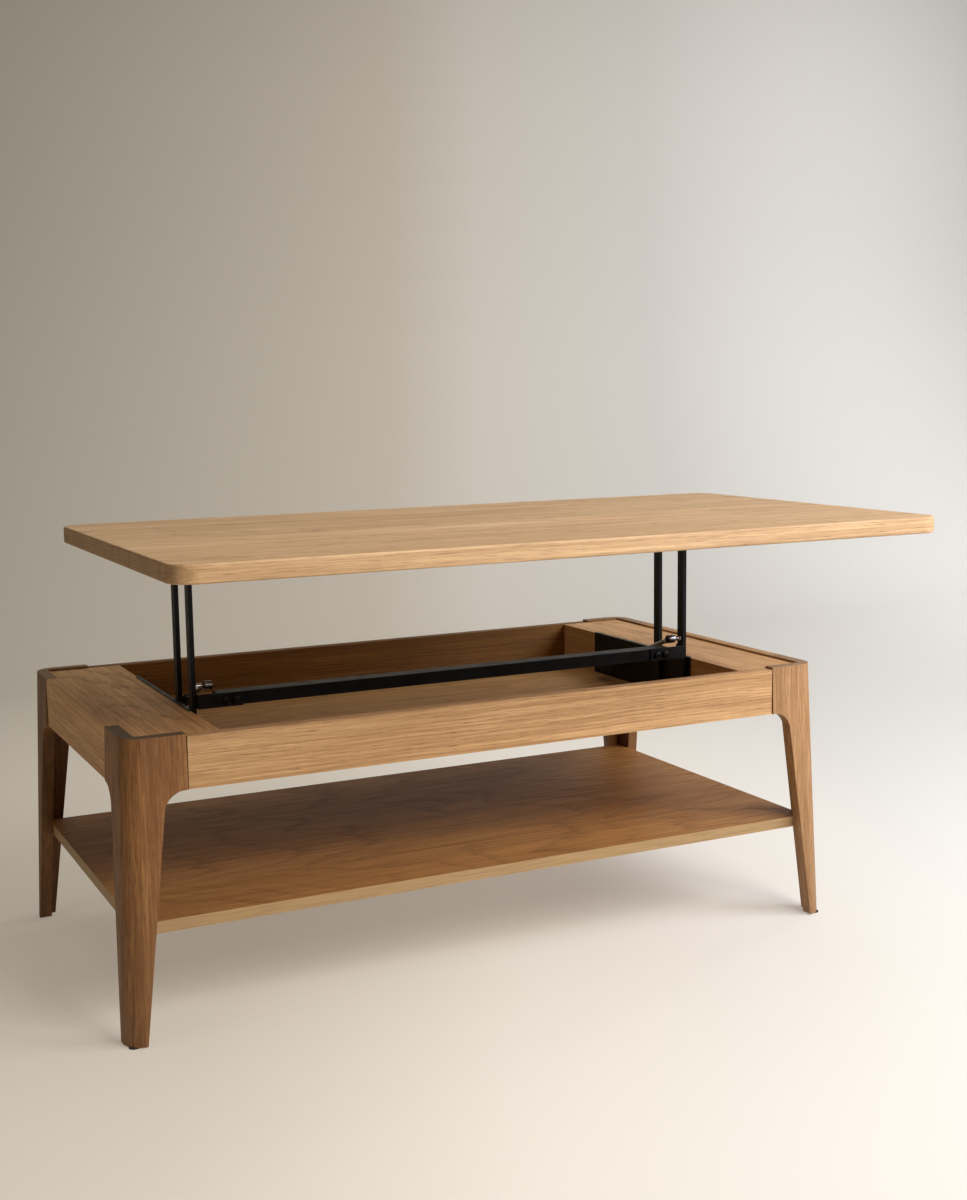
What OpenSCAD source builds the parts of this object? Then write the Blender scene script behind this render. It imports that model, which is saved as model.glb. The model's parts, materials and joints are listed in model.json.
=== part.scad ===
// Lift top coffee table: oak frame with lower shelf and storage tray, and a
// tabletop that swings up and forward on two steel parallelogram hinges.
// Units are millimetres. X runs left to right, Y front to back, Z up.
// Everything is drawn with the tabletop raised, which is the rest pose.

/* [Tabletop] */
// length of the tabletop, left to right
top_l = 1200; // [900:5:1500]
// depth of the tabletop, front to back
top_w = 645; // [450:5:800]
// thickness of the tabletop board
top_t = 25; // [18:1:40]
// radius of the four corners seen from above
top_corner_r = 34; // [10:1:80]
// radius of the eased long edges
top_edge_r = 3; // [1:0.5:8]

/* [Frame] */
// length over the front apron and leg tops
frame_l = 1196; // [900:2:1500]
// depth over the side aprons and leg tops
frame_w = 641; // [450:1:800]
// height of the top edge of the long aprons and end panels
frame_z = 440; // [350:5:600]
// how far the leg tops and side aprons stand above the end panels
lip_h = 3.5; // [0:0.5:8]
// height of the aprons
apron_h = 76.5; // [60:0.5:120]
// thickness of aprons and of the two wings of a leg
board_t = 20; // [15:1:30]
// width of the shadow gap between an apron and a leg
joint_gap = 1.6; // [0:0.1:2]

/* [Legs] */
// width of a leg top seen from the front
leg_front_w = 90; // [60:1:130]
// width of a leg top seen from the side
leg_side_w = 108; // [60:1:140]
// width below the shoulder curve, seen from the front
knee_front_w = 58; // [35:1:90]
// width below the shoulder curve, seen from the side
knee_side_w = 74; // [35:1:100]
// width at the floor, seen from the front
foot_front_w = 30; // [22:1:60]
// width at the floor, seen from the side
foot_side_w = 38; // [22:1:60]
// how far a foot stands out sideways beyond the frame
splay_x = 16; // [0:1:40]
// how far a foot stands out to the front or back beyond the frame
splay_y = 15; // [0:1:40]
// radius of the outer corner of a leg
leg_round = 32; // [5:1:40]
// thickness of the nail-on glide under a foot
glide_t = 2; // [1:0.5:5]

/* [Tray and shelf] */
// half width between the inner faces of the tray end walls
wall_in = 453; // [350:1:520]
// thickness of a tray end wall
wall_t = 16; // [10:1:25]
// thickness of an end panel
panel_t = 16; // [10:1:25]
// thickness of the tray bottom
floor_t = 5; // [3:0.5:12]
// height of the top face of the lower shelf
shelf_z = 174; // [80:2:300]
// thickness of the lower shelf
shelf_t = 18; // [12:1:30]
// half length of the lower shelf
shelf_hx = 587.4; // [400:0.2:700]
// half depth of the lower shelf
shelf_hy = 308.8; // [200:0.2:400]

/* [Hinge] */
// distance between the two pivots of an arm
arm_l = 302; // [200:1:400]
// angle above level of a closed arm
closed_deg = 10.5; // [5:0.5:30]
// distance front to back between the front and rear arm pivots
arm_pitch = 77.5; // [50:0.5:120]
// how far the rear pivots sit below the front pivots
rear_drop = 5.2; // [0:0.1:20]
// width of an arm
arm_w = 17.5; // [12:0.5:30]
// thickness of an arm
arm_t = 7; // [3:0.5:12]
// front to back position of the front arms, from the frame centre
arm_y = -137.5; // [-250:0.1:-50]
// diameter of the pivot pins
pin_d = 8; // [5:0.5:12]
// thickness of the steel base brackets
plate_t = 3; // [2:0.5:5]
// thickness of the steel top brackets
flange_t = 2.5; // [1.5:0.5:5]
// gap between the closed tabletop and the leg tops
closed_gap = 1.8; // [0.5:0.1:6]

/* [Crossbar] */
// half length of the rectangular tube
bar_half = 408; // [300:1:440]
// tube size front to back
bar_w = 30; // [15:1:50]
// tube size up and down
bar_h = 20; // [10:1:40]
// wall thickness of the tube
bar_wall = 1.5; // [1:0.5:4]
// tube centre above the lower pivots of the front arms
bar_up = 74; // [40:0.5:90]
// thickness of the angle brackets at its ends
bar_plate_t = 3; // [2:0.5:6]

/* [Gas springs] */
// distance of the ball stud above the front arm lower pivot
stud_up = 96; // [60:0.5:150]
// front to back position of the fixed ball stud, from the frame centre
anchor_y = 109.9; // [50:1:200]
// height of the fixed ball stud
anchor_z = 383; // [375:0.5:420]
// half width to the centre line of a gas spring
spring_x = 422; // [380:0.5:445]
// outside diameter of the cylinder
spring_d = 18; // [12:0.5:24]
// diameter of the piston rod
rod_d = 8; // [5:0.5:12]

/* [Hidden] */
$fn = 64;
eps = 0.01;
frame_hx = frame_l / 2;
frame_hy = frame_w / 2;
apron_z = frame_z - apron_h;
lip_z = frame_z + lip_h;
lean_y = atan(splay_x / frame_z);
lean_x = atan(splay_y / frame_z);
floor_z = apron_z;
// closed and raised tabletop
under_closed = lip_z + closed_gap;
pivot_drop = flange_t + arm_w / 2 + 0.5;
rise = arm_l * (1 - sin(closed_deg));
reach = arm_l * cos(closed_deg);
under_z = under_closed + rise;
top_y = -reach;
// pivots with the top raised
front_pz = under_z - pivot_drop - arm_l;
rear_pz = front_pz - rear_drop;
rear_y = arm_y + arm_pitch;
// layers of a hinge, outward from the table centre
plate_x = wall_in - plate_t;
washer_t = 1;
arm_x = plate_x - washer_t - arm_t;
flange_x = arm_x - washer_t - flange_t;
// gas spring
stud_z = front_pz + stud_up;
spring_dy = anchor_y - arm_y;
spring_dz = stud_z - anchor_z;
spring_len = sqrt(spring_dy * spring_dy + spring_dz * spring_dz);
spring_deg = atan2(spring_dz, spring_dy);
tube_from = 12;
tube_l = 126;
tube_wall = 1.2;
guide_l = 5;
socket_r = 7;
socket_t = 13;
rod_l = 138.5;
// the model is centred on its own box
y_shift = (top_w / 2 + reach - frame_hy - splay_y) / 2;
// fasteners
screw_d = 4;
screw_head_d = 8;
top_screw_l = 14;
dowel_d = 8;
dowel_half = 14;
bore_gap = 0.1;
head_d = 13;
head_t = 2.4;
oak = [0.78, 0.58, 0.36];
steel = [0.08, 0.08, 0.085];
chrome = [0.80, 0.80, 0.82];
zinc = [0.62, 0.62, 0.63];
rubber = [0.10, 0.10, 0.10];
// glue blocks behind the legs and the bolts through them
block_z = 394;
block_h = 38;
block_leg = 60;
bolt_d = 7;
bolt_grip = 8;
// strips along the tray bottom
cleat_w = 12;
// front and back ends of the steel brackets
plate_front = arm_y - 18;
plate_back = 174;
bracket_lip_t = 1.5;
bracket_front = arm_y - 128;
bracket_back = arm_y + arm_pitch + 18;

// ---- helpers ----

// centres the assembly on its own box
module place() {
  translate([0, y_shift, 0])
    children();
}

// the right hand side as drawn, the left hand side mirrored
module side(s) {
  if (s > 0)
    children();
  else
    mirror([1, 0, 0])
      children();
}

module both_sides() {
  for (s = [-1, 1])
    side(s)
      children();
}

module four_corners() {
  for (sx = [0, 1], sy = [0, 1])
    mirror([sx, 0, 0])
      mirror([0, sy, 0])
        children();
}

module box(a, b) {
  translate(a)
    cube(b - a);
}

// a cylinder along X between two X values
module rod_x(x0, x1, y, z, d) {
  translate([x0, y, z])
    rotate([0, 90, 0])
      cylinder(h = x1 - x0, d = d);
}

module rod_y(y0, y1, x, z, d) {
  translate([x, y0, z])
    rotate([-90, 0, 0])
      cylinder(h = y1 - y0, d = d);
}

// ---- tabletop ----

module edge_profile() {
  difference() {
    square([top_corner_r, top_t]);
    for (m = [0, 1])
      translate([top_corner_r - top_edge_r, m * (top_t - top_edge_r)])
        difference() {
          square(top_edge_r);
          translate([0, (1 - m) * top_edge_r])
            circle(r = top_edge_r);
        }
  }
}

module tabletop() {
  hx = top_l / 2 - top_corner_r;
  hy = top_w / 2 - top_corner_r;
  color(oak)
    place()
      translate([0, top_y, under_z])
        difference() {
          union() {
            box([-hx, -hy, 0], [hx, hy, top_t]);
            for (a = [0, 1, 2, 3]) {
              odd = a % 2;
              dx = odd == 0 ? hx : hy;
              dy = odd == 0 ? hy : hx;
              rotate([0, 0, 90 * a])
                translate([dx, dy, 0])
                  rotate_extrude(angle = 90)
                    edge_profile();
              rotate([0, 0, 90 * a])
                translate([dx, dy, 0])
                  rotate([90, 0, 0])
                    linear_extrude(height = 2 * dy)
                      edge_profile();
            }
          }
          translate([0, -top_y, -under_z])
            top_screw_spots()
              cylinder(h = top_screw_l, d = screw_d);
        }
}

// rubber stops that meet the side aprons when the top is down
module tabletop_pads() {
  pad_t = closed_gap - 0.3;
  color(rubber)
    place()
      translate([0, top_y, under_z - pad_t])
        four_corners()
          translate([frame_hx - board_t / 2, 150, 0])
            cylinder(h = pad_t, d = 12);
}

// ---- legs ----

// one wing of a leg: tapered below, a concave shoulder under the apron
module wing_profile(foot_w, knee_w, head_w, lean) {
  r = head_w - knee_w;
  shoulder_z = apron_z + head_w * sin(lean);
  knee_z = shoulder_z - r;
  polygon([[0, -20], [foot_w, -20], [foot_w, 0], [knee_w, knee_z],
    [knee_w, shoulder_z], [0, shoulder_z]]);
  translate([0, shoulder_z - eps])
    square([head_w + 12, lip_z - shoulder_z + 12]);
  difference() {
    translate([knee_w - eps, knee_z])
      square([r + 12, r]);
    translate([knee_w + r, knee_z])
      circle(r = r);
    translate([knee_w + r, knee_z - eps])
      square([20, r]);
  }
}

// leans a leg outward about its top corner
module lean() {
  translate([0, 0, frame_z])
    rotate([-lean_x, lean_y, 0])
      translate([0, 0, -frame_z])
        children();
}

// drawn with its outer corner on the Z axis and its wings along +X and +Y
module leg_blank() {
  difference() {
    union() {
      translate([0, board_t, 0])
        rotate([90, 0, 0])
          linear_extrude(height = board_t)
            wing_profile(foot_front_w, knee_front_w, leg_front_w, lean_y);
      rotate([90, 0, 90])
        linear_extrude(height = board_t)
          wing_profile(foot_side_w, knee_side_w, leg_side_w, lean_x);
    }
    translate([0, 0, -30])
      linear_extrude(height = lip_z + 60)
        difference() {
          translate([-1, -1])
            square(leg_round + 1);
          translate([leg_round, leg_round])
            circle(r = leg_round);
        }
    diagonal_rod(board_t - bolt_grip - 1, 60, bolt_d + bore_gap);
  }
}

// a rod on the diagonal of the corner, distances from the inner corner of the leg
module diagonal_rod(from, to, d) {
  corner = board_t * sqrt(2);
  translate([0, 0, block_z])
    rotate([0, 90, 45])
      translate([0, 0, corner + from - board_t])
        cylinder(h = to - from, d = d);
}

module leg_corner() {
  translate([frame_hx, frame_hy, 0])
    rotate([0, 0, 180])
      children();
}

module leg() {
  difference() {
    leg_corner()
      intersection() {
        lean()
          leg_blank();
        box([-60, -60, glide_t], [leg_front_w, leg_side_w, lip_z]);
      }
    apron_dowel_set(dowel_d + bore_gap);
    shelf_dowel_set(dowel_d + bore_gap);
    glide(bore_gap);
  }
}

module corner_leg(mx, my) {
  color(oak)
    place()
      mirror([mx, 0, 0])
        mirror([0, my, 0])
          leg();
}

module glide(extra) {
  translate([frame_hx + splay_x - 13, frame_hy + splay_y - 13, 0]) {
    cylinder(h = glide_t, d = 16);
    translate([0, 0, glide_t - eps])
      cylinder(h = 12 + extra, d = 2.5 + extra);
  }
}

module foot_glides() {
  color(rubber)
    place()
      four_corners()
        glide(0);
}

// glue blocks behind the legs
module corner_blocks() {
  at = board_t + 0.1;
  color(oak)
    place()
      four_corners()
        leg_corner()
          lean()
            difference() {
              translate([at, at, block_z - block_h / 2])
                linear_extrude(height = block_h)
                  polygon([[0, 0], [block_leg, 0], [0, block_leg]]);
              diagonal_rod(-5, block_leg + 10, 7.4);
            }
}

module leg_bolts() {
  face = (board_t + 0.1) * sqrt(2) + block_leg / sqrt(2) - board_t * sqrt(2) + board_t;
  color(zinc)
    place()
      four_corners()
        leg_corner()
          lean() {
            diagonal_rod(board_t - bolt_grip, face + 0.1, bolt_d);
            diagonal_rod(face + 0.05, face + 1.6, 16);
            translate([0, 0, block_z])
              rotate([0, 90, 45])
                translate([0, 0, board_t * sqrt(2) + face + 1.55 - board_t])
                  cylinder(h = 5, d = 12.5, $fn = 6);
          }
}

// ---- aprons and tray ----

module apron_dowel_set(d) {
  for (dz = [22, 54]) {
    x = frame_hx - leg_front_w;
    y = frame_hy - leg_side_w;
    rod_x(x - dowel_half, x + dowel_half, frame_hy - board_t / 2, apron_z + dz, d);
    rod_y(y - dowel_half, y + dowel_half, frame_hx - board_t / 2, apron_z + dz, d);
  }
}

module shelf_dowel_set(d) {
  z = shelf_z - shelf_t / 2;
  rod_y(shelf_hy - 14, shelf_hy + 13, shelf_hx - 11, z, d);
  rod_x(shelf_hx - 14, shelf_hx + 13, shelf_hy - 22, z, d);
}

module apron_dowels() {
  color(oak)
    place()
      four_corners()
        apron_dowel_set(dowel_d);
}

module shelf_dowels() {
  color(oak)
    place()
      four_corners()
        shelf_dowel_set(dowel_d);
}

module long_apron(my) {
  hx = frame_hx - leg_front_w - joint_gap;
  color(oak)
    place()
      mirror([0, my, 0])
        difference() {
          box([-hx, frame_hy - board_t, apron_z], [hx, frame_hy, frame_z]);
          four_corners()
            apron_dowel_set(dowel_d + bore_gap);
        }
}

module side_apron(s) {
  hy = frame_hy - leg_side_w - joint_gap;
  color(oak)
    place()
      side(s)
        difference() {
          box([frame_hx - board_t, -hy, apron_z], [frame_hx, hy, lip_z]);
          four_corners()
            apron_dowel_set(dowel_d + bore_gap);
        }
}

module end_panel(s) {
  hy = frame_hy - board_t - 0.5;
  color(oak)
    place()
      side(s)
        box([wall_in + wall_t + 0.7, -hy, frame_z - panel_t],
          [frame_hx - board_t - 1.2, hy, frame_z]);
}

module inner_wall(s) {
  hy = frame_hy - board_t - 0.2;
  color(oak)
    place()
      side(s)
        difference() {
          box([wall_in, -hy, apron_z], [wall_in + wall_t, hy, frame_z]);
          plate_screw_spots()
            rod_x(wall_in - 1, wall_in + 13, 0, 0, screw_d + bore_gap);
          floor_screw_spots()
            cylinder(h = 13, d = screw_d + bore_gap);
        }
}

// strips that carry the end panels
module panel_battens() {
  z1 = frame_z - panel_t - 0.1;
  color(oak)
    place()
      both_sides()
        for (x = [wall_in + wall_t + 0.2, frame_hx - board_t - 14.2])
          box([x, -190, z1 - 14], [x + 14, 190, z1]);
}

module storage_cleats() {
  y1 = frame_hy - board_t - 0.2;
  color(oak)
    place()
      for (m = [0, 1])
        mirror([0, m, 0])
          difference() {
            box([24 - wall_in, y1 - cleat_w, floor_z], [wall_in - 24, y1, floor_z + cleat_w]);
            cleat_screw_spots()
              cylinder(h = 9, d = screw_d + bore_gap);
          }
}

// screws through the tray bottom, below the end walls and below the cleats
module floor_screw_spots() {
  for (i = [-2:2])
    translate([wall_in + wall_t / 2, i * 130, floor_z - eps])
      children();
}

module cleat_screw_spots() {
  for (i = [-3:3])
    translate([i * 135, frame_hy - board_t - 0.2 - cleat_w / 2, floor_z - eps])
      children();
}

// a countersunk screw pointing up, its head flush with z = 0
module flat_screw(length, extra) {
  cylinder(h = length, d = screw_d + extra);
  cylinder(h = screw_d / 2, d1 = screw_head_d + extra, d2 = screw_d + extra);
}

module storage_bottom() {
  hx = wall_in + wall_t;
  hy = frame_hy - board_t - 0.4;
  color(oak)
    place()
      difference() {
        box([-hx, -hy, floor_z - floor_t], [hx, hy, floor_z]);
        translate([0, 0, -floor_t]) {
          both_sides()
            floor_screw_spots()
              translate([0, 0, -eps])
                flat_screw(floor_t + 1, bore_gap);
          for (m = [0, 1])
            mirror([0, m, 0])
              cleat_screw_spots()
                translate([0, 0, -eps])
                  flat_screw(floor_t + 1, bore_gap);
        }
      }
}

module bottom_screws() {
  color(zinc)
    place()
      translate([0, 0, -floor_t]) {
        both_sides()
          floor_screw_spots()
            flat_screw(floor_t + 12, 0);
        for (m = [0, 1])
          mirror([0, m, 0])
            cleat_screw_spots()
              flat_screw(floor_t + 8, 0);
      }
}

module lower_shelf() {
  color(oak)
    place()
      difference() {
        box([-shelf_hx, -shelf_hy, shelf_z - shelf_t], [shelf_hx, shelf_hy, shelf_z]);
        four_corners()
          shelf_dowel_set(dowel_d + bore_gap);
      }
}

// ---- hinge, drawn for the right hand side ----

// screw positions on the base bracket
module plate_screw_spots() {
  for (p = [[-112, 434], [-10, 434], [80, 434], [160, 434], [40, 371], [160, 371]])
    translate([0, p[0], p[1]])
      children();
}

// a plate with a narrow flange that lies on the inner wall
module base_bracket(s) {
  cut = 7;
  flange_w = 4;
  z0 = floor_z + 0.5;
  z1 = frame_z + bracket_lip_t;
  color(steel)
    place()
      side(s)
        difference() {
          union() {
            translate([plate_x, 0, 0])
              rotate([90, 0, 90])
                linear_extrude(height = plate_t)
                  polygon([[plate_front, z0], [plate_back, z0], [plate_back, z1],
                    [plate_front, z1]]);
            translate([0, 0, frame_z])
              linear_extrude(height = bracket_lip_t)
                polygon([[wall_in - eps, plate_front], [wall_in + flange_w, plate_front + cut],
                  [wall_in + flange_w, plate_back - cut], [wall_in - eps, plate_back]]);
          }
          for (p = [[arm_y, front_pz], [rear_y, rear_pz]])
            rod_x(plate_x - 1, wall_in + 1, p[0], p[1], pin_d + bore_gap);
          rod_x(plate_x - 1, wall_in + 1, anchor_y, anchor_z, 6 + bore_gap);
          plate_screw_spots()
            translate([plate_x - eps, 0, 0])
              rotate([0, 90, 0])
                flat_screw(6, bore_gap);
        }
}

module base_bracket_screws() {
  color(steel)
    place()
      both_sides()
        plate_screw_spots()
          translate([plate_x, 0, 0])
            rotate([0, 90, 0])
              flat_screw(15, 0);
}

module base_pivot_pins() {
  x = arm_x - 0.3;
  color(steel)
    place()
      both_sides()
        for (p = [[arm_y, front_pz], [rear_y, rear_pz]]) {
          rod_x(x - eps, wall_in, p[0], p[1], pin_d);
          rod_x(x - head_t, x, p[0], p[1], head_d);
        }
}

module ring_x(x0, x1, y, z, d, bore) {
  difference() {
    rod_x(x0, x1, y, z, d);
    rod_x(x0 - 1, x1 + 1, y, z, bore);
  }
}

module base_pivot_washers() {
  color(zinc)
    place()
      both_sides()
        for (p = [[arm_y, front_pz], [rear_y, rear_pz]])
          ring_x(arm_x + arm_t + 0.05, plate_x - 0.05, p[0], p[1], 15, pin_d + bore_gap);
}

// an arm with round ends; top_bore is the hole at its upper end
module arm_bar(y, z, top_bore) {
  difference() {
    union() {
      box([arm_x, y - arm_w / 2, z], [arm_x + arm_t, y + arm_w / 2, z + arm_l]);
      for (e = [0, arm_l])
        rod_x(arm_x, arm_x + arm_t, y, z + e, arm_w);
    }
    rod_x(arm_x - 1, arm_x + arm_t + 1, y, z, pin_d + bore_gap);
    rod_x(arm_x - 1, arm_x + arm_t + 1, y, z + arm_l, top_bore);
  }
}

module front_arm(s) {
  color(steel)
    place()
      side(s)
        difference() {
          arm_bar(arm_y, front_pz, pin_d + bore_gap);
          rod_x(arm_x - 1, arm_x + arm_t - 1, arm_y, stud_z, 6 + bore_gap);
          rod_x(arm_x - 1, arm_x + arm_t - 1, arm_y, front_pz + bar_up, 6 + bore_gap);
        }
}

module rear_arm(s) {
  color(steel)
    place()
      side(s)
        arm_bar(rear_y, rear_pz, pin_d + 0.6);
}

// ---- crossbar ----

module crossbar() {
  z = front_pz + bar_up;
  color(steel)
    place()
      difference() {
        box([-bar_half, arm_y - bar_w / 2, z - bar_h / 2],
          [bar_half, arm_y + bar_w / 2, z + bar_h / 2]);
        box([-bar_half - 1, arm_y - bar_w / 2 + bar_wall, z - bar_h / 2 + bar_wall],
          [bar_half + 1, arm_y + bar_w / 2 - bar_wall, z + bar_h / 2 - bar_wall]);
        both_sides()
          bar_bolt_spots()
            rod_y(-1, bar_wall + 1, 0, 0, 6 + bore_gap);
      }
}

module crossbar_end_caps() {
  z = front_pz + bar_up;
  fit = bar_wall + 0.1;
  color(rubber)
    place()
      both_sides() {
        box([bar_half, arm_y - bar_w / 2, z - bar_h / 2],
          [bar_half + 2, arm_y + bar_w / 2, z + bar_h / 2]);
        box([bar_half - 6, arm_y - bar_w / 2 + fit, z - bar_h / 2 + fit],
          [bar_half + 1, arm_y + bar_w / 2 - fit, z + bar_h / 2 - fit]);
      }
}

// bolt positions on the front face of the tube
module bar_bolt_spots() {
  for (x = [bar_half - 26, bar_half - 9])
    translate([x, arm_y - bar_w / 2, front_pz + bar_up])
      children();
}

module crossbar_bracket(s) {
  z0 = front_pz + bar_up - bar_h / 2 - 1;
  z1 = z0 + bar_h + 2;
  y0 = arm_y - bar_w / 2 - bar_plate_t;
  x1 = arm_x - 0.3;
  color(steel)
    place()
      side(s)
        difference() {
          union() {
            box([bar_half - 38, y0, z0], [x1, y0 + bar_plate_t, z1]);
            box([x1 - bar_plate_t, y0, z0], [x1, arm_y + 8, z1]);
          }
          bar_bolt_spots()
            rod_y(-bar_plate_t - 1, 1, 0, 0, 6 + bore_gap);
          rod_x(x1 - bar_plate_t - 1, x1 + 1, arm_y, front_pz + bar_up, 6 + bore_gap);
        }
}

module crossbar_bolts() {
  x1 = arm_x - 0.3 - bar_plate_t;
  z = front_pz + bar_up;
  color(steel)
    place()
      both_sides() {
        bar_bolt_spots() {
          rod_y(-bar_plate_t - 3.2, -bar_plate_t, 0, 0, 10.5);
          rod_y(-bar_plate_t - eps, bar_wall + 6, 0, 0, 6);
        }
        rod_x(x1 - 3.2, x1, arm_y, z, 10.5);
        rod_x(x1 - eps, arm_x + arm_t - 1.5, arm_y, z, 6);
      }
}

// ---- top brackets ----

module top_screw_spots() {
  both_sides()
    for (dy = [12, 62, 112, 190])
      translate([flange_x - 14, bracket_front + dy, under_z - eps])
        children();
}

module top_bracket(s) {
  z0 = under_z - 24;
  color(steel)
    place()
      side(s)
        difference() {
          union() {
            box([flange_x - 28, bracket_front, under_z - flange_t],
              [flange_x + flange_t, bracket_back, under_z]);
            translate([flange_x, 0, 0])
              rotate([90, 0, 90])
                linear_extrude(height = flange_t)
                  polygon([[bracket_front, under_z], [bracket_front, under_z - 10],
                    [arm_y - 30, z0], [rear_y + 6, z0], [bracket_back, under_z - 10],
                    [bracket_back, under_z]]);
          }
          for (p = [[arm_y, front_pz + arm_l], [rear_y, rear_pz + arm_l]])
            rod_x(flange_x - 1, flange_x + flange_t + 1, p[0], p[1], pin_d + bore_gap);
          translate([0, 0, -flange_t - 1])
            top_screw_spots()
              cylinder(h = flange_t + 2, d = screw_d + bore_gap);
        }
}

module top_bracket_screws() {
  color(steel)
    place()
      top_screw_spots()
        translate([0, 0, eps]) {
          translate([0, 0, -flange_t - eps])
            cylinder(h = top_screw_l + flange_t - 1, d = screw_d - 0.1);
          translate([0, 0, -flange_t - 2])
            cylinder(h = 2, d = screw_head_d);
        }
}

module top_pivot_pins() {
  color(steel)
    place()
      both_sides()
        for (p = [[arm_y, front_pz], [rear_y, rear_pz]]) {
          rod_x(flange_x - eps, arm_x + arm_t, p[0], p[1] + arm_l, pin_d);
          rod_x(flange_x - head_t, flange_x, p[0], p[1] + arm_l, head_d);
        }
}

module top_pivot_washers() {
  color(zinc)
    place()
      both_sides()
        for (p = [[arm_y, front_pz], [rear_y, rear_pz]])
          ring_x(flange_x + flange_t + 0.05, arm_x - 0.05, p[0], p[1] + arm_l,
            15, pin_d + bore_gap);
}

// ---- gas springs ----

// moves to the fixed ball stud, with +Z pointing at the moving one
module along_spring() {
  translate([0, anchor_y, anchor_z])
    rotate([90 - spring_deg, 0, 0])
      children();
}

// a stud: hexagon and shank at the steel, neck from there to x_end
module stud(x_end, x_face, shank, y, z) {
  rod_x(x_end, x_face - 4, y, z, pin_d);
  translate([x_face - 4.1, y, z])
    rotate([0, 90, 0])
      cylinder(h = 4.08, d = 12, $fn = 6);
  rod_x(x_face - eps, x_face + shank, y, z, 6);
}

module gas_anchor_studs() {
  color(chrome)
    place()
      both_sides()
        stud(spring_x - 3, plate_x, plate_t, anchor_y, anchor_z);
}

module gas_arm_studs() {
  color(chrome)
    place()
      both_sides()
        stud(spring_x + socket_t / 2 + 0.3, arm_x, arm_t - 1.5, arm_y, stud_z);
}

module gas_cylinder(s) {
  color(steel)
    place()
      side(s)
        difference() {
          union() {
            rod_x(spring_x - socket_t / 2, spring_x + socket_t / 2, anchor_y, anchor_z,
              2 * socket_r);
            along_spring()
              translate([spring_x, 0, 0]) {
                cylinder(h = tube_from + 1, d = rod_d + 1);
                translate([0, 0, tube_from])
                  difference() {
                    cylinder(h = tube_l, d = spring_d);
                    translate([0, 0, 2])
                      cylinder(h = tube_l - guide_l - 2, d = spring_d - 2 * tube_wall);
                    translate([0, 0, tube_l / 2])
                      cylinder(h = tube_l, d = rod_d + bore_gap);
                  }
              }
          }
          rod_x(spring_x - 3.5, spring_x + socket_t, anchor_y, anchor_z, pin_d + bore_gap);
        }
}

module gas_rod(s) {
  color(zinc)
    place()
      side(s) {
        rod_x(spring_x - socket_t / 2, spring_x + socket_t / 2, arm_y, stud_z,
          2 * socket_r);
        along_spring()
          translate([spring_x, 0, 0]) {
            translate([0, 0, spring_len - rod_l])
              cylinder(h = rod_l - 2, d = rod_d);
            translate([0, 0, spring_len - rod_l])
              cylinder(h = 6, d = spring_d - 2 * tube_wall - 0.1);
            translate([0, 0, spring_len - 14])
              cylinder(h = 12, d = 11);
          }
      }
}

// ---- assembly ----

tabletop();
long_apron(1);  // front_apron
long_apron(0);  // back_apron
side_apron(-1);  // left_apron
side_apron(1);  // right_apron
corner_leg(1, 1);  // front_left_leg
corner_leg(0, 1);  // front_right_leg
corner_leg(1, 0);  // back_left_leg
corner_leg(0, 0);  // back_right_leg
end_panel(-1);  // left_end_panel
end_panel(1);  // right_end_panel
inner_wall(-1);  // left_inner_wall
inner_wall(1);  // right_inner_wall
storage_bottom();
storage_cleats();
lower_shelf();
apron_dowels();
shelf_dowels();
corner_blocks();
leg_bolts();
panel_battens();
bottom_screws();
foot_glides();
base_bracket(-1);  // left_base_bracket
base_bracket(1);  // right_base_bracket
base_bracket_screws();
base_pivot_pins();
base_pivot_washers();
gas_anchor_studs();
front_arm(-1);  // left_front_arm
front_arm(1);  // right_front_arm
gas_arm_studs();
rear_arm(-1);  // left_rear_arm
rear_arm(1);  // right_rear_arm
crossbar();
crossbar_end_caps();
crossbar_bracket(-1);  // left_crossbar_bracket
crossbar_bracket(1);  // right_crossbar_bracket
crossbar_bolts();
top_bracket(-1);  // left_top_bracket
top_bracket(1);  // right_top_bracket
top_bracket_screws();
top_pivot_pins();
top_pivot_washers();
tabletop_pads();
gas_cylinder(-1);  // left_gas_cylinder
gas_cylinder(1);  // right_gas_cylinder
gas_rod(-1);  // left_gas_rod
gas_rod(1);  // right_gas_rod
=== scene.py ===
"""Looks of the lift top coffee table: oak, powder coated steel, chrome, on a pale seamless floor."""

import json
import math

import bmesh
import bpy
from mathutils import Matrix, Vector


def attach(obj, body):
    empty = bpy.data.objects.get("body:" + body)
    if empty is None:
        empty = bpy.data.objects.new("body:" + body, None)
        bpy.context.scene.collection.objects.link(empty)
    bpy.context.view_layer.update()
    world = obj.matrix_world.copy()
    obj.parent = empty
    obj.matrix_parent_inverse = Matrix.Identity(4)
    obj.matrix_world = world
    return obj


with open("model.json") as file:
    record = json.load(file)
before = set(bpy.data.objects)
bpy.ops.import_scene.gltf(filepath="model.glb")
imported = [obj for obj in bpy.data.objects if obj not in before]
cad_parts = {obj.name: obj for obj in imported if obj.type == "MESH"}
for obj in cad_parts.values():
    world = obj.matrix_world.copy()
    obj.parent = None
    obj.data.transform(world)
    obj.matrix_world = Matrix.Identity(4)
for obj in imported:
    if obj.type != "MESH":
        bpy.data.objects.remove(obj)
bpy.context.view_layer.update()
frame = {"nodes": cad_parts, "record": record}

NODES = frame["nodes"]
scene = bpy.context.scene


# ---------------------------------------------------------------- node helper

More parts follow.
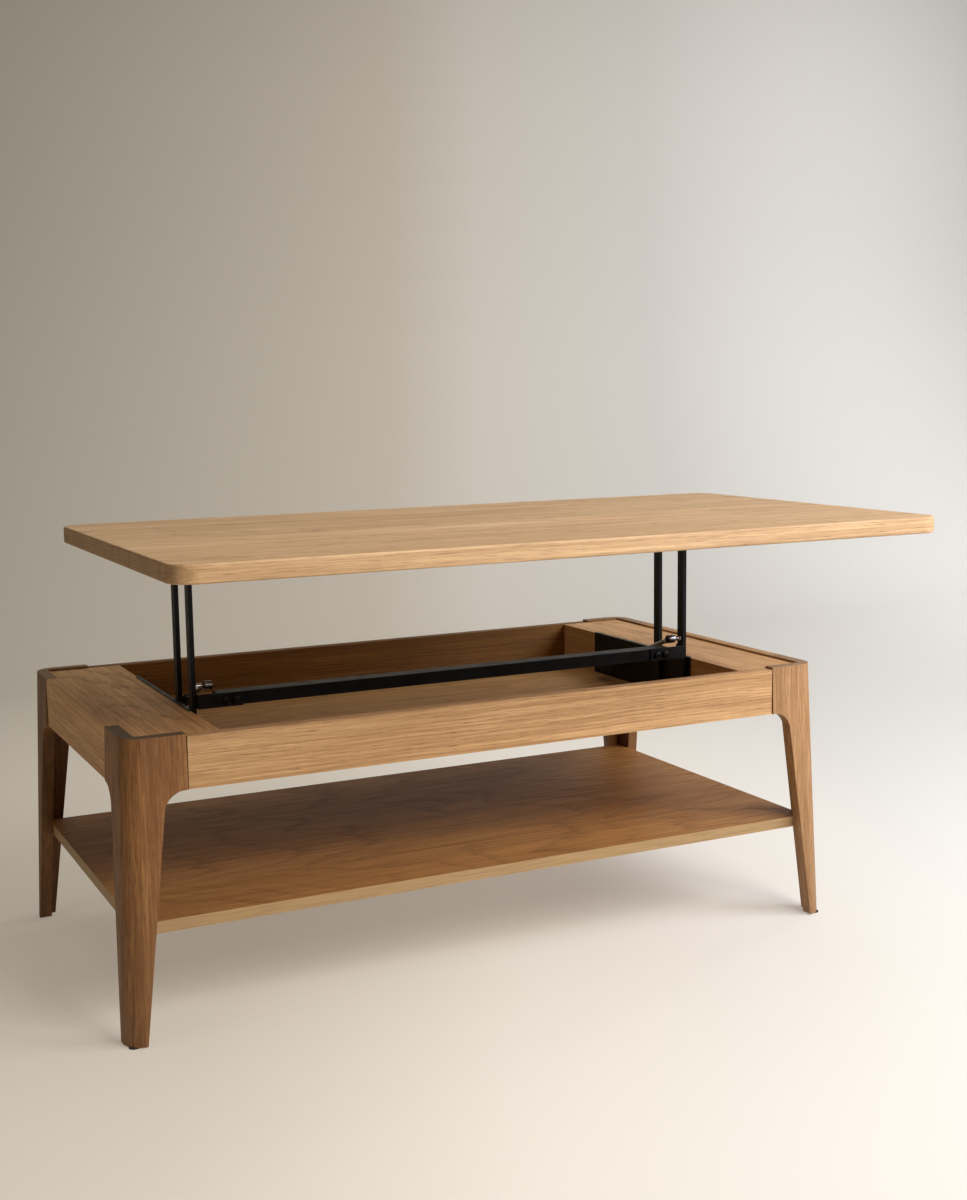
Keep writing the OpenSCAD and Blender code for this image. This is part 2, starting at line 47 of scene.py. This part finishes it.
class Graph:
    """Short names for making and linking shader nodes."""

    def __init__(self, name):
        self.mat = bpy.data.materials.new(name)
        self.mat.use_nodes = True
        self.tree = self.mat.node_tree
        self.tree.nodes.clear()

    def node(self, kind, props=None, **inputs):
        n = self.tree.nodes.new(kind)
        for k, v in (props or {}).items():
            setattr(n, k, v)
        for k, v in inputs.items():
            self.put(n, k.replace("_", " "), v)
        return n

    def put(self, n, key, value):
        sock = n.inputs[int(key)] if str(key).isdigit() else n.inputs[key]
        if isinstance(value, bpy.types.NodeSocket):
            self.tree.links.new(value, sock)
        elif isinstance(value, bpy.types.Node):
            self.tree.links.new(value.outputs[0], sock)
        else:
            sock.default_value = value

    def math(self, op, a, b=None, c=None, clamp=False):
        n = self.node("ShaderNodeMath", {"operation": op, "use_clamp": clamp})
        for i, v in enumerate((a, b, c)):
            if v is not None:
                self.put(n, i, v)
        return n.outputs[0]

    def vmath(self, op, a, b=None, scale=None):
        n = self.node("ShaderNodeVectorMath", {"operation": op})
        self.put(n, 0, a)
        if b is not None:
            self.put(n, 1, b)
        if scale is not None:
            self.put(n, "Scale", scale)
        return n.outputs["Value"] if op in ("DOT_PRODUCT", "LENGTH") else n.outputs[0]

    def noise(self, vector, scale=1.0, detail=3.0, rough=0.5):
        n = self.node("ShaderNodeTexNoise", Vector=vector, Scale=scale, Detail=detail,
                      Roughness=rough)
        return n.outputs["Fac"]

    def stretch(self, vector, size):
        return self.vmath("MULTIPLY", vector, size)

    def ramp(self, fac, stops):
        n = self.node("ShaderNodeValToRGB", Fac=fac)
        r = n.color_ramp
        r.interpolation = "LINEAR"
        while len(r.elements) < len(stops):
            r.elements.new(0.5)
        for e, (at, col) in zip(r.elements, stops):
            e.position = at
            e.color = (*col, 1) if len(col) == 3 else col
        return n.outputs["Color"]

    def grey(self, fac, lo, hi, to_lo=0.0, to_hi=1.0):
        n = self.node("ShaderNodeMapRange", {"clamp": True})
        for k, v in zip(("Value", "From Min", "From Max", "To Min", "To Max"),
                        (fac, lo, hi, to_lo, to_hi)):
            self.put(n, k, v)
        return n.outputs[0]

    def mix(self, fac, a, b, blend="MIX"):
        n = self.node("ShaderNodeMix", {"data_type": "RGBA", "blend_type": blend})
        for s, v in ((0, fac), (6, a), (7, b)):
            self.put(n, s, v)
        return n.outputs[2]

    def bump(self, height, strength, distance):
        n = self.node("ShaderNodeBump", Height=height, Strength=strength, Distance=distance)
        return n.outputs[0]

    def edges(self, radius):
        """1 along convex and concave edges, 0 on flat faces."""
        bev = self.node("ShaderNodeBevel", {"samples": 4}, Radius=radius)
        geo = self.node("ShaderNodeNewGeometry")
        dot = self.vmath("DOT_PRODUCT", bev.outputs[0], geo.outputs["Normal"])
        return self.grey(dot, 0.995, 0.80)

    def surface(self, **inputs):
        b = self.node("ShaderNodeBsdfPrincipled")
        for k, v in inputs.items():
            self.put(b, k.replace("_", " "), v)
        out = self.node("ShaderNodeOutputMaterial")
        self.tree.links.new(b.outputs[0], out.inputs[0])
        return self.mat


# ---------------------------------------------------------------- oak

GRAIN_TURN = {"x": (0, 0, 0), "y": (0, 0, -math.pi / 2), "z": (0, math.pi / 2, 0)}
GRAIN_AXIS = {"x": (1, 0, 0), "y": (0, 1, 0), "z": (0, 0, 1)}


def oak(name, grain="x", seed=0.0, tone_and_shade=(1.0, 1.0, 1.0), stave=0.11, centre=0.0, pith=0.07, taper=0.02,
        rings=170.0, line=0.5, streaky=0.5, end=1.0, lit_edge_colour=None, foot=0.0, drift=1.0):
    """Solid oak: growth rings about a pith line, so faces, edges and end grain agree."""
    g = Graph(name)
    tc = g.node("ShaderNodeTexCoord")
    turned = g.node("ShaderNodeVectorRotate", {"rotation_type": "EULER_XYZ"},
                    Vector=tc.outputs["Object"], Rotation=GRAIN_TURN[grain]).outputs[0]
    sep = g.node("ShaderNodeSeparateXYZ", Vector=turned)
    # boards glued side by side, each cut from another place in the log
    across = g.math("ADD", sep.outputs[1], (stave / 2 - centre) % stave + 20 * stave)
    strip = g.math("FLOOR", g.math("DIVIDE", across, stave))
    inside = g.math("SUBTRACT", g.math("MODULO", across, stave), stave / 2)
    rnd = g.node("ShaderNodeTexWhiteNoise", {"noise_dimensions": "1D"}, W=g.math("ADD", strip, seed))
    p = g.vmath("ADD", turned, g.vmath("MULTIPLY", rnd.outputs["Color"], (3.0, 0.11, 0.05)))
    p = g.vmath("ADD", p, (seed * 1.7, seed * 0.013, pith))
    # slow wander of the rings along the board
    wander = g.node("ShaderNodeTexNoise", Vector=g.stretch(p, (1.6, 4.0, 4.0)), Scale=1.0, Detail=3.0)
    off = g.vmath("MULTIPLY", g.vmath("SUBTRACT", wander.outputs["Color"], (0.5, 0.5, 0.5)),
                  (0.0, 0.10 * drift, 0.07 * drift))
    qs = g.node("ShaderNodeSeparateXYZ", Vector=g.vmath("ADD", p, off))
    os_ = g.node("ShaderNodeSeparateXYZ", Vector=off)
    wob = g.grey(rnd.outputs["Value"], 0.0, 1.0, -0.022, 0.022)
    yy = g.math("ADD", g.math("ADD", inside, os_.outputs[1]), wob)
    zz = g.math("ADD", qs.outputs[2], g.math("MULTIPLY", qs.outputs[0], taper))
    radius = g.math("SQRT", g.math("ADD", g.math("MULTIPLY", yy, yy), g.math("MULTIPLY", zz, zz)))
    fuzz = g.noise(g.stretch(p, (7.0, 90.0, 90.0)), 1.0, 3.0, 0.6)
    radius = g.math("ADD", radius, g.math("MULTIPLY", fuzz, 0.0034))
    turns = g.math("MULTIPLY", radius, rings)
    ring = g.math("FRACT", turns)
    ring_rnd = g.node("ShaderNodeTexWhiteNoise", {"noise_dimensions": "1D"}, W=g.math("FLOOR", turns))
    early = g.math("MULTIPLY", g.grey(ring, 0.42, 0.0), g.grey(ring, 0.0, 0.07))
    early = g.math("MULTIPLY", early, g.grey(ring_rnd.outputs["Value"], 0.0, 1.0, 0.35, 1.0))
    # the lines break up into short dashes along the grain
    dash = g.noise(g.stretch(p, (24.0, 240.0, 240.0)), 1.0, 2.0, 0.6)
    early = g.math("MULTIPLY", early, g.grey(dash, 0.36, 0.56, 0.35, 1.0))
    # open pores: short dark dashes, gathered in the early wood
    pores = g.noise(g.stretch(p, (40.0, 1300.0, 1300.0)), 1.0, 1.0)
    pores = g.math("MULTIPLY", g.grey(pores, 0.55, 0.66), g.grey(early, 0.0, 0.6, 0.3, 1.0))
    streak = g.noise(g.stretch(p, (4.0, 270.0, 270.0)), 1.0, 3.0, 0.6)
    broad = g.noise(g.stretch(p, (1.3, 62.0, 62.0)), 1.0, 3.0, 0.55)
    fine = g.noise(g.stretch(p, (12.0, 760.0, 760.0)), 1.0, 2.0, 0.6)
    cloud = g.noise(g.stretch(p, (1.4, 7.0, 7.0)), 1.0, 3.0, 0.55)
    # ray flecks, pale and broad
    rays = g.grey(g.noise(g.stretch(p, (30.0, 110.0, 110.0)), 1.0, 2.0, 0.4), 0.64, 0.72)

    light = (0.660, 0.440, 0.240, 1)
    mid = (0.530, 0.330, 0.162, 1)
    dark = (0.270, 0.140, 0.055, 1)
    col = g.mix(g.grey(cloud, 0.32, 0.68), mid, light)
    col = g.mix(g.grey(broad, 0.40, 0.66, 0.0, 0.55 * streaky), col, dark)
    col = g.mix(g.grey(streak, 0.42, 0.62, 0.0, 0.62 * streaky), col, dark)
    col = g.mix(g.grey(fine, 0.44, 0.62, 0.0, 0.46 * streaky), col, dark)
    col = g.mix(g.grey(streak, 0.44, 0.30, 0.0, 0.30 * streaky), col, light)
    col = g.mix(g.math("MULTIPLY", early, line), col, dark)
    col = g.mix(g.math("MULTIPLY", rays, 0.16), col, light)
    col = g.mix(g.math("MULTIPLY", pores, 0.72), col, (0.115, 0.054, 0.022, 1))
    board = g.grey(g.node("ShaderNodeTexWhiteNoise", {"noise_dimensions": "1D"},
                          W=g.math("ADD", strip, seed + 31.0)).outputs["Value"], 0.0, 1.0, 0.90, 1.08)
    col = g.node("ShaderNodeHueSaturation", Color=col, Value=board).outputs[0]
    # painted light and shade: this per-piece multiplier is partly the oak's own tone and partly painted
    # shade and painted light for how much light reaches that piece
    col = g.mix(1.0, col, (*tone_and_shade, 1), "MULTIPLY")
    # end grain soaks up more finish
    facing = g.math("ABSOLUTE", g.vmath("DOT_PRODUCT", tc.outputs["Normal"], GRAIN_AXIS[grain]))
    ends = g.grey(facing, 0.55, 0.85)
    dots = g.noise(g.stretch(p, (60.0, 900.0, 900.0)), 1.0, 2.0)
    blot = g.noise(g.stretch(p, (5.0, 34.0, 34.0)), 1.0, 3.0)
    end_lo = (0.200 * end, 0.112 * end, 0.052 * end, 1)
    end_hi = (0.400 * end, 0.245 * end, 0.128 * end, 1)
    end_col = g.mix(g.grey(dots, 0.42, 0.62), end_lo, end_hi)
    end_col = g.mix(g.grey(blot, 0.42, 0.62, 0.0, 0.45), end_col, end_lo)
    end_col = g.mix(g.math("MULTIPLY", early, 0.65), end_col, (0.085 * end, 0.045 * end, 0.020 * end, 1))
    col = g.mix(ends, col, end_col)
    if lit_edge_colour:
        # painted light: the board's side faces take a paler colour than its top and underside, which keep
        # the shelf's painted shade
        up = g.math("ABSOLUTE", g.vmath("DOT_PRODUCT", tc.outputs["Normal"], (0, 0, 1)))
        lit_edge_col = g.mix(g.grey(fine, 0.40, 0.66), (*lit_edge_colour, 1), tuple(c * 0.72 for c in lit_edge_colour) + (1,))
        col = g.mix(g.grey(up, 0.80, 0.55), col, lit_edge_col)
    if foot:
        # painted shade: darker towards the floor, standing in for less light reaching the lower legs
        height = g.node("ShaderNodeSeparateXYZ", Vector=tc.outputs["Object"]).outputs[2]
        foot_shade = g.grey(g.math("ADD", height, g.math("MULTIPLY", cloud, 0.06)), 0.34, 0.0, 0.0, foot)
        col = g.mix(foot_shade, col, (0.100, 0.048, 0.020, 1))
    # rubbed edges
    edge = g.edges(0.0022)
    patches = g.noise(g.stretch(p, (30.0, 60.0, 60.0)))
    worn = g.math("MULTIPLY", edge, g.grey(patches, 0.35, 0.7, 0.10, 0.45))
    col = g.mix(g.math("MULTIPLY", worn, 0.40), col, (0.66 * tone_and_shade[0], 0.45 * tone_and_shade[1], 0.26 * tone_and_shade[2], 1))

    height = g.math("SUBTRACT", g.math("MULTIPLY", streak, 0.4), g.math("MULTIPLY", pores, 1.0))
    height = g.math("SUBTRACT", height, g.math("MULTIPLY", early, 0.35))
    rough = g.math("ADD", g.grey(streak, 0.3, 0.7, 0.46, 0.60), g.math("MULTIPLY", pores, 0.18))
    return g.surface(Base_Color=col, Roughness=rough, Specular_IOR_Level=0.34,
                     Normal=g.bump(height, 0.30, 0.0008))


# ---------------------------------------------------------------- metal and rubber

def powder_black(name="powder_black"):
    g = Graph(name)
    tc = g.node("ShaderNodeTexCoord")
    p = tc.outputs["Object"]
    peel = g.noise(p, 900.0, 2.0, 0.5)
    dust = g.noise(p, 55.0, 4.0, 0.6)
    edge = g.edges(0.0008)
    col = g.mix(g.grey(dust, 0.45, 0.8, 0.0, 0.5), (0.0026, 0.0024, 0.0023, 1),
                (0.008, 0.0072, 0.0065, 1))
    rub = g.math("MULTIPLY", edge, g.grey(g.noise(p, 130.0, 3.0), 0.5, 0.72))
    col = g.mix(g.math("MULTIPLY", rub, 0.5), col, (0.045, 0.042, 0.040, 1))
    rough = g.grey(dust, 0.3, 0.7, 0.40, 0.54)
    return g.surface(Base_Color=col, Roughness=rough, Specular_IOR_Level=0.25,
                     Normal=g.bump(peel, 0.10, 0.0003))


def bright_metal(name, colour, rough_lo, rough_hi, lines):
    g = Graph(name)
    tc = g.node("ShaderNodeTexCoord")
    p = tc.outputs["Object"]
    brushed = g.noise(g.stretch(p, lines), 1.0, 3.0, 0.6)
    smear = g.noise(p, 70.0, 3.0)
    dull = tuple(c * 0.72 for c in colour)
    col = g.mix(g.grey(smear, 0.45, 0.8, 0.0, 0.35), (*colour, 1), (*dull, 1))
    rough = g.grey(brushed, 0.3, 0.7, rough_lo, rough_hi)
    return g.surface(Base_Color=col, Metallic=1.0, Roughness=rough,
                     Normal=g.bump(brushed, 0.06, 0.0002))


def rubber_mat(name="rubber_black"):
    g = Graph(name)
    tc = g.node("ShaderNodeTexCoord")
    speck = g.noise(tc.outputs["Object"], 600.0, 3.0)
    col = g.mix(g.grey(speck, 0.4, 0.7), (0.014, 0.013, 0.012, 1), (0.035, 0.033, 0.031, 1))
    return g.surface(Base_Color=col, Roughness=0.82, Normal=g.bump(speck, 0.2, 0.0003))


# each piece's tone below is partly the oak's own colour and partly painted shade and painted light: the
# back apron, back legs, front left leg and lower shelf are darkened as painted shade, and the left apron
# and end panels are lightened as painted light
OAK = {
    "tabletop": oak("oak_tabletop", "x", 1.0, (1.12, 1.13, 1.18), 0.1075, taper=0.012, line=0.40,
                    streaky=0.58, end=1.40),
    "front_apron": oak("oak_front_apron", "x", 2.3, (1.05, 0.97, 0.86), 0.60, pith=0.9, line=0.55,
                       streaky=0.82),
    "back_apron": oak("oak_back_apron", "x", 3.1, (0.42, 0.285, 0.090), 0.60, pith=0.9, line=0.55,
                      streaky=0.85),
    "left_apron": oak("oak_left_apron", "y", 4.7, (1.32, 1.16, 0.92), 0.60, pith=0.9, line=0.55,
                      streaky=0.80),
    "right_apron": oak("oak_right_apron", "y", 5.2, (0.90, 0.78, 0.62), 0.60, pith=0.9, line=0.45,
                       streaky=0.60),
    "left_end_panel": oak("oak_left_panel", "y", 6.1, (1.34, 1.22, 1.00), 0.30, centre=0.545, pith=0.045,
                          taper=0.035, rings=210.0, line=1.0, streaky=0.85, drift=0.5),
    "right_end_panel": oak("oak_right_panel", "y", 7.9, (1.20, 1.08, 0.94), 0.30, centre=-0.50,
                           pith=0.045, taper=0.035, rings=230.0, line=0.75, streaky=0.55, drift=0.55),
    "left_inner_wall": oak("oak_left_wall", "y", 8.4, (1.05, 0.92, 0.74), 0.60, pith=0.9),
    "right_inner_wall": oak("oak_right_wall", "y", 9.6, (0.95, 0.82, 0.66), 0.60, pith=0.9),
    "storage_bottom": oak("oak_tray", "x", 10.2, (1.00, 0.87, 0.64), 0.16, line=0.50, streaky=0.60),
    "storage_cleats": oak("oak_cleats", "x", 11.2, (0.80, 0.68, 0.54), 0.60, pith=0.9),
    "panel_battens": oak("oak_battens", "y", 11.9, (0.90, 0.80, 0.66), 0.60, pith=0.9),
    "lower_shelf": oak("oak_shelf", "x", 12.5, (0.70, 0.505, 0.270), 0.31, centre=0.13, pith=0.035,
                       taper=0.05, rings=150.0, line=0.85, streaky=0.75, drift=0.8,
                       lit_edge_colour=(0.40, 0.25, 0.115)),
    "front_left_leg": oak("oak_leg_fl", "z", 13.3, (0.60, 0.43, 0.265), 0.60, pith=0.30, line=0.70,
                          streaky=1.05, end=0.40, foot=0.40),
    "front_right_leg": oak("oak_leg_fr", "z", 14.8, (0.77, 0.68, 0.61), 0.60, pith=0.30, line=0.60,
                           streaky=0.80, end=1.0, foot=0.15),
    "back_left_leg": oak("oak_leg_bl", "z", 15.4, (0.40, 0.28, 0.145), 0.60, pith=0.30, line=0.60,
                         streaky=0.90, end=0.9, foot=0.20),
    "back_right_leg": oak("oak_leg_br", "z", 16.6, (0.42, 0.28, 0.15), 0.60, pith=0.30, line=0.40,
                          streaky=0.60, end=0.9, foot=0.20),
    "corner_blocks": oak("oak_blocks", "z", 17.2, (0.90, 0.78, 0.64), 0.60, pith=0.30),
    "apron_dowels": oak("oak_dowels", "x", 18.0, (0.95, 0.85, 0.72), 0.60, pith=0.9),
}
OAK["shelf_dowels"] = OAK["apron_dowels"]
BLACK = powder_black()
CHROME = bright_metal("chrome_polished", (0.52, 0.52, 0.54), 0.10, 0.20, (400.0, 400.0, 400.0))
ROD = bright_metal("rod_hard_chrome", (0.20, 0.198, 0.20), 0.16, 0.28, (700.0, 60.0, 700.0))
ZINC = bright_metal("zinc_plated", (0.58, 0.585, 0.57), 0.26, 0.42, (200.0, 200.0, 200.0))
RUBBER = rubber_mat()
BY_SLOT = {"black_steel": BLACK, "chrome": CHROME, "rod_steel": ROD, "zinc_steel": ZINC,
           "rubber": RUBBER}
SLOT_OF = {s["node"]: s["material_slot"] for s in frame["record"]["subparts"]}


def dress(node, width):
    """A CAD node keeps its shape and gets its material, and a small rounded edge."""
    o = NODES[node]
    mat = OAK.get(node) or BY_SLOT[SLOT_OF[node]]
    o.data.materials.clear()
    o.data.materials.append(mat)
    if width:
        weld = o.modifiers.new("weld", "WELD")
        weld.merge_threshold = 0.00001
        bev = o.modifiers.new("bevel", "BEVEL")
        bev.limit_method = "ANGLE"
        bev.angle_limit = math.radians(35)
        bev.width = width
        bev.segments = 3
        bev.harden_normals = True


BEVEL = {"tabletop": 0.0, "foot_glides": 0.0005}
for node in NODES:
    if node in OAK:
        dress(node, BEVEL.get(node, 0.0011))
    else:
        dress(node, BEVEL.get(node, 0.0004))


# ---------------------------------------------------------------- small hardware

# metres; Y_BASE is how far the frame's origin lies in front of the middle of the base
Y_BASE = 0.141971
ARM_Y, REAR_Y = -0.1375 + Y_BASE, -0.0600 + Y_BASE
ANCHOR_Y, ANCHOR_Z = 0.1099 + Y_BASE, 0.383
FRONT_Z, REAR_Z, ARM_L = 0.378514, 0.373314, 0.302
BASE_PIN_X, TOP_PIN_X = 0.4393, 0.4361
ARM_FACE_X, PLATE_X = 0.4491, 0.4500
PIN_HEAD = (0.0064, 0.0022)
BOLT_HEAD = (0.0051, 0.0017)
UNDER_Z = FRONT_Z + ARM_L + 0.01175
BAR_Z = FRONT_Z + 0.074
SPRING_X, SPRING_LEAN = 0.422, math.radians(20.2998)


def turned_part(name, at, axis, rows, body, mat, steps=32):
    """A surface of revolution; a row is (radius, height), or (radius, height, shape) for a socket."""
    w = Vector(axis).normalized()
    u = w.orthogonal().normalized()
    v = w.cross(u)
    bm = bmesh.new()
    rings = []
    for row in rows:
        r, h = row[0], row[1]
        shape = row[2] if len(row) > 2 else None
        ring = []
        for i in range(steps):
            t = 2 * math.pi * i / steps
            k = r
            if shape == "hex":
                k = r * math.cos(math.pi / 6) / math.cos((t + math.pi / 6) % (math.pi / 3) - math.pi / 6)
            elif shape == "cross":
                k = r if abs(math.sin(2 * t)) < 0.45 else 0.36 * r
            ring.append(bm.verts.new(Vector(at) + u * (k * math.cos(t)) + v * (k * math.sin(t)) + w * h))
        rings.append(ring)
    for a, b in zip(rings, rings[1:]):
        for i in range(steps):
            j = (i + 1) % steps
            bm.faces.new((a[i], a[j], b[j], b[i]))
    bm.faces.new(rings[0][::-1])
    bm.faces.new(rings[-1])
    bmesh.ops.recalc_face_normals(bm, faces=bm.faces)
    me = bpy.data.meshes.new(name)
    bm.to_mesh(me)
    bm.free()
    for f in me.polygons:
        f.use_smooth = True
    me.set_sharp_from_angle(angle=math.radians(38))
    me.materials.append(mat)
    o = bpy.data.objects.new(name, me)
    scene.collection.objects.link(o)
    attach(o, body)
    return o


def button_head(name, at, axis, r, h, body, mat=None, slot="black_steel", shape="hex"):
    """A low domed head with a hexagon socket or a cross recess."""
    dome = [(r * math.cos(a) ** 0.8, h * (0.30 + 0.70 * math.sin(a)))
            for a in (math.radians(d) for d in (0, 14, 28, 42, 56))]
    key = 0.50 * r if shape == "hex" else 0.62 * r
    socket = [(key * 1.12, h), (key, 0.97 * h, shape), (key * 0.96, 0.30 * h, shape)]
    rows = [(r * 0.97, 0.0), (r, 0.06 * h)] + dome + socket
    rows = [q for i, q in enumerate(rows) if i < 2 or q[0] <= rows[i - 1][0] + 1e-9]
    return turned_part(name, at, axis, rows, body, mat or BLACK, 36)


def ring_clip(name, at, axis, r, thick, body, mat):
    """A round wire ring, such as a retaining clip or a rolled crimp."""
    rows = [(r + thick * math.cos(a), thick * math.sin(a))
            for a in (math.radians(d) for d in range(-90, 91, 30))]
    rows = [(r - thick, -thick)] + rows + [(r - thick, thick)]
    return turned_part(name, at, axis, rows, body, mat, 32)


def hinge_hardware(side, s):
    for tag, y, z in (("front", ARM_Y, FRONT_Z), ("rear", REAR_Y, REAR_Z)):
        button_head(f"{side}_{tag}_base_pin_head", (s * BASE_PIN_X, y, z), (-s, 0, 0), *PIN_HEAD, "base")
        button_head(f"{side}_{tag}_top_pin_head", (s * TOP_PIN_X, y, z + ARM_L), (-s, 0, 0), *PIN_HEAD,
                    "top")
        ring_clip(f"{side}_{tag}_top_pin_clip", (s * ARM_FACE_X, y, z + ARM_L), (s, 0, 0), 0.0047,
                  0.0003, "top", ZINC)
    for i, x in enumerate((0.382, 0.399)):
        button_head(f"{side}_crossbar_bolt_{i}", (s * x, ARM_Y - 0.0212, BAR_Z), (0, -1, 0),
                    *BOLT_HEAD, "lift_arms")
    button_head(f"{side}_bracket_bolt", (s * 0.4355, ARM_Y, BAR_Z), (-s, 0, 0), *BOLT_HEAD,
                "lift_arms")
    upper = [(y, 0.434) for y in (-0.112, -0.010, 0.080, 0.160)]
    lower = [(y, 0.371) for y in (0.040, 0.160)]
    for i, (y, z) in enumerate(upper + lower):
        button_head(f"{side}_bracket_screw_{i}", (s * PLATE_X, y + Y_BASE, z), (-s, 0, 0), 0.0039,
                    0.0004, "base", shape="cross")
    for i, dy in enumerate((0.012, 0.062, 0.112, 0.190)):
        button_head(f"{side}_top_screw_{i}", (s * 0.4245, ARM_Y - 0.128 + dy, UNDER_Z - 0.0045),
                    (0, 0, -1), 0.0039, 0.0009, "top", shape="cross")


def spring_hardware(side, s):
    """Rolled end, rod wiper and spring clips of a gas spring."""
    d = Vector((0, -math.cos(SPRING_LEAN), math.sin(SPRING_LEAN)))
    foot = Vector((s * SPRING_X, ANCHOR_Y, ANCHOR_Z))
    stud = Vector((s * SPRING_X, ARM_Y, FRONT_Z + 0.096))
    tube = f"{side}_spring_body"
    rod = f"{side}_spring_rod"
    turned_part(f"{side}_spring_gland", foot + d * 0.138, d,
                [(0.0089, -0.0010), (0.0086, 0.0002), (0.0077, 0.0008), (0.0070, 0.0010),
                 (0.0049, 0.0010), (0.0047, 0.0006)], tube, BLACK)
    ring_clip(f"{side}_spring_crimp", foot + d * 0.1315, d, 0.0087, 0.0005, tube, BLACK)
    turned_part(f"{side}_spring_foot_cup", foot + d * 0.0105, d,
                [(0.0050, -0.0030), (0.0064, -0.0020), (0.0078, 0.0004), (0.0086, 0.0018)], tube, BLACK)
    turned_part(f"{side}_rod_nut", stud - d * 0.0104, d,
                [(0.0052, -0.0022, "hex"), (0.0062, -0.0016, "hex"), (0.0062, 0.0028, "hex"),
                 (0.0052, 0.0034, "hex")], rod, ZINC, 36)
    for tag, at, body in (("foot", foot, tube), ("stud", stud, rod)):
        turned_part(f"{side}_{tag}_socket_cap", at - Vector((s * 0.0064, 0, 0)), (-s, 0, 0),
                    [(0.0068, 0.0), (0.0064, 0.0007), (0.0048, 0.0012), (0.0040, 0.0012),
                     (0.0036, 0.0005)],
                    body, BLACK)
        ring_clip(f"{side}_{tag}_socket_clip", at + Vector((s * 0.0020, 0, 0)), (s, 0, 0), 0.0071, 0.0006,
                  body, CHROME)


for side, s in (("left", -1), ("right", 1)):
    hinge_hardware(side, s)
    spring_hardware(side, s)


# ---------------------------------------------------------------- studio

def backdrop():
    """Floor that curves up into a wall without a line."""
    bm = bmesh.new()
    back, bend, high = 2.6, 2.2, 6.0
    profile = [(-7.0, 0.0), (back, 0.0)]
    profile += [(back + bend * math.sin(a), bend * (1 - math.cos(a)))
                for a in (math.radians(d) for d in range(3, 91, 3))]
    profile.append((back + bend, high))
    rows = [[bm.verts.new((x, y, z)) for x in (-11.0, 11.0)] for y, z in profile]
    for a, b in zip(rows, rows[1:]):
        bm.faces.new((a[0], a[1], b[1], b[0]))
    me = bpy.data.meshes.new("backdrop")
    bm.to_mesh(me)
    bm.free()
    for f in me.polygons:
        f.use_smooth = True
    o = bpy.data.objects.new("backdrop", me)
    scene.collection.objects.link(o)
    g = Graph("backdrop_paint")
    tc = g.node("ShaderNodeTexCoord")
    grain = g.noise(tc.outputs["Object"], 260.0, 3.0)
    # painted light and shade across the paper: darker and warmer towards the left, paler towards the
    # right, standing in for light falling off across it
    along = g.vmath("DOT_PRODUCT", tc.outputs["Object"], (0.9, -0.44, 0.0))
    col = g.ramp(g.grey(along, -2.2, 3.2), (
        (0.00, (0.315, 0.288, 0.243)), (0.34, (0.405, 0.370, 0.318)), (0.42, (0.462, 0.432, 0.390)),
        (0.58, (0.448, 0.438, 0.422)), (1.00, (0.705, 0.697, 0.700))))
    # painted shade: the paper darkens higher up the wall
    high = g.node("ShaderNodeSeparateXYZ", Vector=tc.outputs["Object"]).outputs[2]
    col = g.mix(g.grey(high, 1.0, 3.6, 0.0, 0.22), col, (0.20, 0.175, 0.14, 1))
    col = g.mix(g.grey(grain, 0.35, 0.65, 0.0, 0.05), col, (0.20, 0.18, 0.15, 1))
    me.materials.append(g.surface(Base_Color=col, Roughness=0.85, Specular_IOR_Level=0.15))
    return o


def area_light(name, at, aim, size, watts, colour):
    data = bpy.data.lights.new(name, "AREA")
    data.shape = "RECTANGLE"
    data.size, data.size_y = size
    data.energy = watts
    data.color = colour
    o = bpy.data.objects.new(name, data)
    o.location = at
    o.rotation_euler = (Vector(aim) - Vector(at)).to_track_quat("-Z", "Y").to_euler()
    scene.collection.objects.link(o)
    return o


def studio():
    paper = backdrop()
    # a wide soft light for the paper alone, which keeps the shadows on it pale
    only_paper = bpy.data.collections.new("only_paper")
    only_paper.objects.link(paper)
    fill = area_light("paper_fill", (0.3, -0.2, 3.8), (0.3, -0.2, 0.0), (4.0, 4.0), 172,
                      (1.0, 0.975, 0.94))
    fill.light_linking.receiver_collection = only_paper
    fill.light_linking.blocker_collection = only_paper
    area_light("key", (2.27, -1.59, 2.05), (0.0, 0.0, 0.45), (1.6, 1.6), 80, (0.96, 1.0, 1.09))
    area_light("front", (0.85, -2.70, 2.35), (0.0, 0.0, 0.45), (1.5, 1.5), 86, (1.0, 0.975, 0.92))
    area_light("wall_wash", (4.4, 1.6, 2.6), (2.8, 4.9, 1.3), (2.0, 2.0), 118, (1.0, 0.98, 0.95))
    area_light("ceiling", (0.6, 0.2, 3.6), (0.3, 0.0, 0.4), (3.0, 3.0), 20, (1.0, 0.92, 0.78))
    area_light("left_fill", (-3.6, -1.1, 1.5), (0.0, 0.0, 0.4), (2.0, 1.6), 15, (1.0, 0.89, 0.70))
    world = bpy.data.worlds.new("studio")
    world.use_nodes = True
    world.node_tree.nodes["Background"].inputs[0].default_value = (1.0, 0.90, 0.78, 1)
    world.node_tree.nodes["Background"].inputs[1].default_value = 0.06
    scene.world = world
    scene.view_settings.view_transform = "Standard"
    scene.view_settings.look = "None"


def camera():
    """Long lens from the front left, a little above the raised top."""
    data = bpy.data.cameras.new("camera")
    data.lens = 46.87
    data.sensor_width = 36.0
    data.clip_end = 60.0
    o = bpy.data.objects.new("camera", data)
    yaw, pitch, roll = math.radians(26.39), math.radians(7.885), math.radians(-0.77)
    view = Vector((math.sin(yaw) * math.cos(pitch), math.cos(yaw) * math.cos(pitch), -math.sin(pitch)))
    right = Vector((math.cos(yaw), -math.sin(yaw), 0))
    up = right.cross(view)
    r = right * math.cos(roll) + up * math.sin(roll)
    u = up * math.cos(roll) - right * math.sin(roll)
    rot = Matrix((r, u, -view)).transposed()
    o.matrix_world = Matrix.Translation((-1.0876, -2.2947, 0.9267)) @ rot.to_4x4()
    scene.collection.objects.link(o)
    scene.camera = o


studio()
camera()
bpy.context.view_layer.update()
